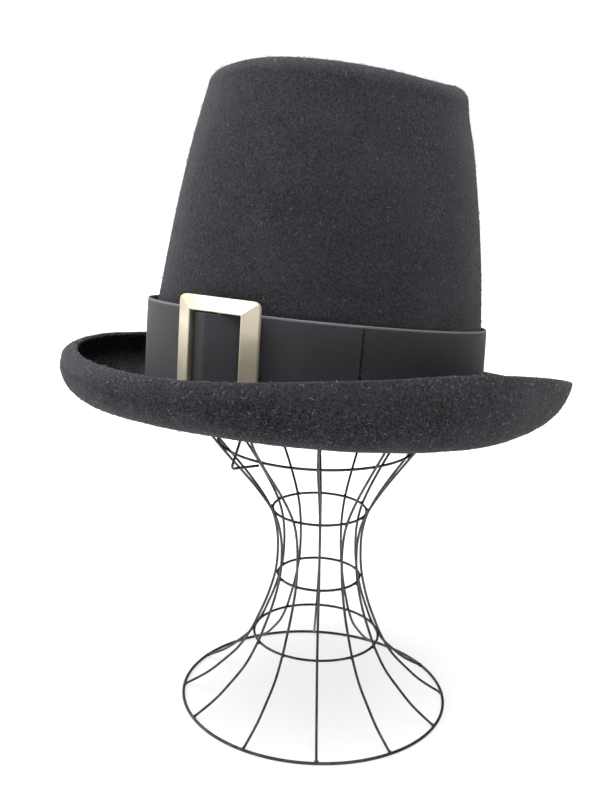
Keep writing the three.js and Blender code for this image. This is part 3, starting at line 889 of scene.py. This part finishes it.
def frame_section(cut):
    """The section's corners, as inset from the outline and depth from the back.

    Cut is how much the rounded outline cuts off there, so that the slope stays flat.
    """
    slope = (BUCKLE_CREST - BUCKLE_SIDE) / BUCKLE_CREST_INSET
    inset, depth = SIDE_CHAMFER
    return (
        (BACK_CHAMFER[0], 0),
        (0, BACK_CHAMFER[1]),
        (0, BUCKLE_SIDE - depth + slope * cut),
        (inset, BUCKLE_SIDE + slope * (cut + inset)),
        (BUCKLE_CREST_INSET, BUCKLE_CREST),
        (BUCKLE_BAR - WINDOW_CHAMFER[0], BUCKLE_CREST - WINDOW_ROUND),
        (BUCKLE_BAR, BUCKLE_CREST - WINDOW_CHAMFER[1]),
        (BUCKLE_BAR, 0),
    )


def frame_rows():
    """Sections round the frame. The sloping faces are flat and meet in sharp mitres."""
    rows = []
    for corner, (sx, sz) in enumerate([(1, 1), (-1, 1), (-1, -1), (1, -1)]):
        for step in range(CORNER_STEPS + 1):
            turn = (corner + step / CORNER_STEPS) * math.pi / 2
            cut = BUCKLE_CORNER * (1 - max(abs(math.cos(turn)), abs(math.sin(turn))))
            points = []
            for inset, depth in frame_section(cut):
                radius = BUCKLE_CORNER * (1 - inset / BUCKLE_CREST_INSET)
                radius = max(radius, BUCKLE_LEAST_CORNER)
                x = sx * (BUCKLE_WIDTH / 2 - inset - radius) + radius * math.cos(turn)
                down = inset * BUCKLE_TOP_BAR / BUCKLE_BAR
                z = sz * (BUCKLE_HEIGHT / 2 - down - radius) + radius * math.sin(turn)
                points.append((x, -depth, z))
            rows.append(points)
    return np.array(rows)


def make_buckle(material, place):
    rows = frame_rows()
    points = rows.reshape(-1, 3)
    faces = grid_faces(*rows.shape[:2], True, True)
    half = BUCKLE_HEIGHT / 2 - BUCKLE_TOP_BAR + CENTRE_LAP
    path = [(0, -CENTRE_DEPTH, z) for z in np.linspace(-half, half, CENTRE_STEPS)]
    bar = tube_points(path, CENTRE_RADIUS, CENTRE_SIDES)
    bar[:, 0] *= CENTRE_WIDER
    faces += tube_faces(CENTRE_STEPS, CENTRE_SIDES, len(points))
    piece = new_mesh("hat_buckle", np.concatenate([points, bar]), faces, place)
    finish_piece(piece, material, "buckle_metal", "buckle", sharp=BUCKLE_SHARP)


# The ribbon's piece in the buckle, over the centre bar. It rises from both tucks to a ridge

LOOP_HALF_WIDTH = 18
LOOP_HEIGHT = 34.6
LOOP_CREST = 7.2
LOOP_RIDGE = -4.3
LOOP_SOFT = 1.2
LOOP_TUCK = 13.1
LOOP_EVEN = (0.5, 0.76)  # the part of the way down that is an even slope, left and right
LOOP_STEEPNESS = 18
LOOP_UNDER = 0.3
LOOP_SINK = 0.16
LOOP_WAVE = (0.12, 9, 8)
LOOP_STEPS = 180
LOOP_ROWS = 10
LOOP_SHARP = 40


def make_loop(material, place):
    x = np.linspace(-LOOP_HALF_WIDTH, LOOP_HALF_WIDTH, LOOP_STEPS)
    from_ridge = np.hypot(x - LOOP_RIDGE, LOOP_SOFT) - LOOP_SOFT
    to_tuck = np.where(x < LOOP_RIDGE, LOOP_TUCK + LOOP_RIDGE, LOOP_TUCK - LOOP_RIDGE)
    far = np.minimum(from_ridge / (np.hypot(to_tuck, LOOP_SOFT) - LOOP_SOFT), 1)
    even = np.where(x < LOOP_RIDGE, *LOOP_EVEN)
    rise = 1 - even * far - (1 - even) * far**LOOP_STEEPNESS
    sink = LOOP_SINK * np.maximum(np.abs(x) - LOOP_TUCK, 0)
    face = rise * (LOOP_CREST + LOOP_UNDER) - LOOP_UNDER - sink
    heights = np.linspace(-0.5, 0.5, LOOP_ROWS) * LOOP_HEIGHT
    outer = np.array([[(a, -b, h) for h in heights] for a, b in zip(x, face)])
    outer[..., 1] -= soft_noise(outer, *LOOP_WAVE)
    slant = np.gradient(face, x)
    size = np.hypot(1, slant)
    inward = np.stack([slant / size, 1 / size, 0 * x], -1) * RIBBON_THICKNESS
    rows = np.concatenate([outer, outer[:, ::-1] + inward[:, None, :]], axis=1)
    faces = tube_faces(LOOP_STEPS, 2 * LOOP_ROWS)
    piece = new_mesh("buckle_ribbon_loop", rows.reshape(-1, 3), faces, place)
    along = running_sum(np.hypot(np.diff(x), np.diff(face)))
    lay_flat(piece, along, np.concatenate([heights, heights[::-1]]))
    finish_piece(piece, material, "ribbon", "ribbon_loop", sharp=LOOP_SHARP)
    return piece


# Stand: each row is a height, the uprights' distance there from the axis, how far the stand leans,
# and how far it has turned, in degrees

STAND_PROFILE = [
    (0, 78.5, 0, 0),
    (8.5, 65, 0, 0),
    (16.5, 56, 0, 0),
    (27, 46, 0, -0.1),
    (39.3, 38.6, 0, -0.4),
    (48, 34.8, 0, -0.6),
    (61, 29.8, 0, -0.9),
    (76.6, 25.7, 0, -1.2),
    (90, 24.4, 0.3, -1.3),
    (104, 25, 0.7, -1.3),
    (117.5, 28.8, 1.2, -1.2),
    (135, 39.4, 2.4, -1.1),
    (159.7, 58.3, 4.5, -1),
    (172, 67, 4.9, -1),
    (187, 73, 4.9, -1),
    (208, 75.5, 4.5, -1),
    (240, 74.5, 3.4, -1),
    (285, 69.1, 2, -1),
    (320, 56.6, 1, -1),
    (342, 37, 0.4, -1),
    (350.5, 17, 0, -1),
]
LEAN_WAY = (-0.899, -0.438)
WIRE_RADIUS = 0.75
WIRE_SIDES = 12
WIRE_AZIMUTHS = [27, 58.7, 88.8, 118, 144, 174.2, 205.3, 234.1, 265.8, 294.8, 323.7, 356.1]
WIRE_STEPS = 150
WIRE_ENDS = (1.0, 0.3)  # how far the uprights stop short of the profile's foot and top
PROFILE_STEPS = 3000
BASE_RING_RADIUS = 78.5
BASE_WIRE_RADIUS = 0.88
RING_GAP = 1.6  # the other rings lie this far inside the uprights
RING_STEPS = 120
RINGS = {
    "ring_lower": 39.3,
    "ring_waist": 76.6,
    "ring_neck": 117.5,
    "ring_upper": 159.7,
    "ring_seat": 187,
    "ring_head": 240,
}
TOP_RING_RADIUS = 14
TOP_RING_HEIGHT = 350.5

# The small bent wire: its ends and its corner, as distance from the axis and height
WIRE_LOOP = [(58.8, 157.4), (80.6, 160.6), (69.2, 184.6)]
WIRE_LOOP_AZIMUTH = -12
WIRE_LOOP_BEND = 3
WIRE_LOOP_STEPS = 10
WIRE_LOOP_BEND_STEPS = 12

# The blobs of weld: their size, and on the base ring also how far in and up they sit
WELD_SIZE = 1.05
BASE_WELD_SIZE = 1.2
BASE_WELD_IN = 0.6
BASE_WELD_UP = 0.4
WELD_UNEVEN = 0.2
WELD_ROWS = 7
WELD_SIDES = 10
WELD_LIFT = 1.35

STAND_HEIGHTS, STAND_RADII, STAND_LEANS, STAND_TWISTS = zip(*STAND_PROFILE)
wire_out = spline(STAND_HEIGHTS, STAND_RADII)
stand_lean = spline(STAND_HEIGHTS, STAND_LEANS)
stand_twist = spline(STAND_HEIGHTS, STAND_TWISTS)


def profile_path():
    """Evenly spaced points of the stand's profile, as radius and height, from its foot to its top."""
    at = running_sum(np.sqrt(np.hypot(np.diff(STAND_RADII), np.diff(STAND_HEIGHTS))))
    fine = np.linspace(0, at[-1], PROFILE_STEPS)
    path = np.stack([spline(at, STAND_RADII)(fine), spline(at, STAND_HEIGHTS)(fine)], 1)
    length = running_sum(np.linalg.norm(np.diff(path, axis=0), axis=1))
    even = np.linspace(WIRE_ENDS[0], length[-1] - WIRE_ENDS[1], WIRE_STEPS)
    return np.interp(even, length, path[:, 0]), np.interp(even, length, path[:, 1])


def round_points(azimuth, radius, height):
    turn = np.radians(azimuth)
    return np.stack(np.broadcast_arrays(radius * np.sin(turn), -radius * np.cos(turn), height), -1)


def stand_points(azimuth, radius, height):
    """The same for the stand, which turns and leans a little on its way up."""
    points = round_points(azimuth + stand_twist(height), radius, height)
    points[..., 0] += LEAN_WAY[0] * stand_lean(height)
    points[..., 1] += LEAN_WAY[1] * stand_lean(height)
    return points


def make_wire(name, path, material, node, thick=WIRE_RADIUS, close=False):
    points = tube_points(path, thick, WIRE_SIDES, close)
    piece = new_mesh(name, points, tube_faces(len(path), WIRE_SIDES, close=close), STAND)
    finish_piece(piece, material, "wire", node)


def make_ring(node, radius, height, material, thick=WIRE_RADIUS):
    path = stand_points(np.arange(RING_STEPS) * 360 / RING_STEPS, radius, height)
    make_wire("stand_" + node, path, material, node, thick, close=True)


def make_stand(material):
    make_ring("base_ring", BASE_RING_RADIUS, 0, material, BASE_WIRE_RADIUS)
    for node, height in RINGS.items():
        make_ring(node, wire_out(height) - RING_GAP, height, material)
    make_ring("ring_top", TOP_RING_RADIUS, TOP_RING_HEIGHT, material)
    radius, height = profile_path()
    for i, azimuth in enumerate(WIRE_AZIMUTHS, 1):
        path = stand_points(azimuth, radius, height)
        make_wire(f"upright_{i:02d}", path, material, f"stand_wire_{i:02d}")
    make_wire("stand_small_loop", wire_loop_path(), material, "wire_loop")
    make_welds(material)


def wire_loop_path():
    join, corner, top = (np.array(point, float) for point in WIRE_LOOP)
    before = corner + (join - corner) / np.linalg.norm(join - corner) * WIRE_LOOP_BEND
    after = corner + (top - corner) / np.linalg.norm(top - corner) * WIRE_LOOP_BEND
    straight = np.linspace(0, 1, WIRE_LOOP_STEPS + 1)
    path = [join + (before - join) * t for t in straight[:-1]]
    path += [bezier([before, corner, after], t) for t in np.linspace(0, 1, WIRE_LOOP_BEND_STEPS)]
    path += [after + (top - after) * t for t in straight[1:]]
    radius, height = np.array(path).T
    return round_points(WIRE_LOOP_AZIMUTH, radius, height)


def make_welds(material):
    """A small blob of weld wherever an upright crosses a ring."""
    rings = [(BASE_RING_RADIUS - BASE_WELD_IN, BASE_WELD_UP, BASE_WELD_SIZE)]
    rings += [(wire_out(height) - RING_GAP / 2, height, WELD_SIZE) for height in RINGS.values()]
    lift = np.linspace(-WELD_LIFT, WELD_LIFT, WELD_ROWS)[:, None]
    turn = np.arange(WELD_SIDES) / WELD_SIDES * 2 * np.pi
    flat = np.cos(lift)
    ways = np.broadcast_arrays(flat * np.cos(turn), flat * np.sin(turn), np.sin(lift))
    blob = np.stack(ways, -1).reshape(-1, 3)
    points, faces = [], []
    for azimuth in WIRE_AZIMUTHS:
        for radius, height, size in rings:
            stretch = size * (1 + WELD_UNEVEN * rng.uniform(-1, 1, 3))
            faces += tube_faces(WELD_ROWS, WELD_SIDES, len(points) * len(blob))
            points.append(stand_points(azimuth, radius, height) + stretch * blob)
    piece = new_mesh("stand_welds", np.concatenate(points), faces, STAND)
    finish_piece(piece, material, "wire")


# Studio, in metres

FLOOR_RADIUS = 6
FLOOR_SIDES = 96
WORLD_LIGHT = 0.2
BACKDROP_LIGHT = 1.0
WHITE = (1, 1, 1, 1)
LIGHT_AIM = Vector((0, 0, 0.22))

# Each light's place, size and power
LIGHTS = {
    "left_softbox": ((-1.05, -0.98, 0.62), (1.15, 1.5), 5.5),
    "back_left_softbox": ((-1.4, 0.05, 0.75), (0.9, 1.2), 11),
    "front_softbox": ((0.9, -1.9, 0.5), (0.9, 1.2), 1.2),
    "top_softbox": ((0, -0.1, 1.5), (1.6, 1.6), 50),
}


def add_floor():
    turn = np.arange(FLOOR_SIDES) / FLOOR_SIDES * 2 * np.pi
    outline = np.stack([np.cos(turn), np.sin(turn), 0 * turn], 1) * FLOOR_RADIUS / MM
    floor = new_mesh("floor", outline, [list(range(FLOOR_SIDES))], smooth=False)
    floor.location.z = CAD_BOX[0][2]
    floor.data.materials.append(floor_material())


def add_light(name, place, size, power):
    data = bpy.data.lights.new(name, "AREA")
    data.shape = "RECTANGLE"
    data.size, data.size_y = size
    data.energy = power
    light = bpy.data.objects.new(name, data)
    light.location = place
    aim = LIGHT_AIM - light.location
    light.rotation_euler = aim.to_track_quat("-Z", "Y").to_euler()
    bpy.context.scene.collection.objects.link(light)


def add_world():
    """A dim even light, and plain white wherever the camera sees past the floor."""
    world = bpy.data.worlds.new("studio")
    world.use_nodes = True
    nodes, links = world.node_tree.nodes, world.node_tree.links
    light = nodes["Background"]
    light.inputs["Color"].default_value = WHITE
    light.inputs["Strength"].default_value = WORLD_LIGHT
    backdrop = nodes.new("ShaderNodeBackground")
    backdrop.inputs["Color"].default_value = WHITE
    backdrop.inputs["Strength"].default_value = BACKDROP_LIGHT
    mix = nodes.new("ShaderNodeMixShader")
    links.new(nodes.new("ShaderNodeLightPath").outputs["Is Camera Ray"], mix.inputs[0])
    links.new(light.outputs[0], mix.inputs[1])
    links.new(backdrop.outputs[0], mix.inputs[2])
    links.new(mix.outputs[0], nodes["World Output"].inputs["Surface"])
    bpy.context.scene.world = world


def add_studio():
    add_floor()
    add_world()
    for name, (place, size, power) in LIGHTS.items():
        add_light(name, place, size, power)
    bpy.context.scene.view_settings.view_transform = "Standard"
    bpy.context.scene.view_settings.look = "None"


# The scene. The fibres, threads and welds draw random numbers in this order

add_camera()
felt = felt_material()
ribbon = ribbon_material()
wire = wire_material()
felt_rows = make_felt(felt)
make_fibres("felt_nap", felt_rows, felt, **NAP)
lint = lint_material()
# The short black threads are a painted shadow under the lap's edge
make_lap_threads("lap_shadow_threads", lap_shadow_material(), **LAP_SHADOW_THREADS)
make_lap_threads("lap_loose_threads", lint, **FRAY_LONG)
# Pale lint, with a painted sheen along the shoulder and the rim
make_fibres("felt_lint_and_edge_sheen", felt_rows, lint, **LINT_AND_EDGE_SHEEN)
hat_ribbon = make_band(ribbon)
on_ribbon = buckle_place()
make_buckle(buckle_material(), on_ribbon)
loop = make_loop(ribbon, on_ribbon)
make_stand(wire)
add_studio()
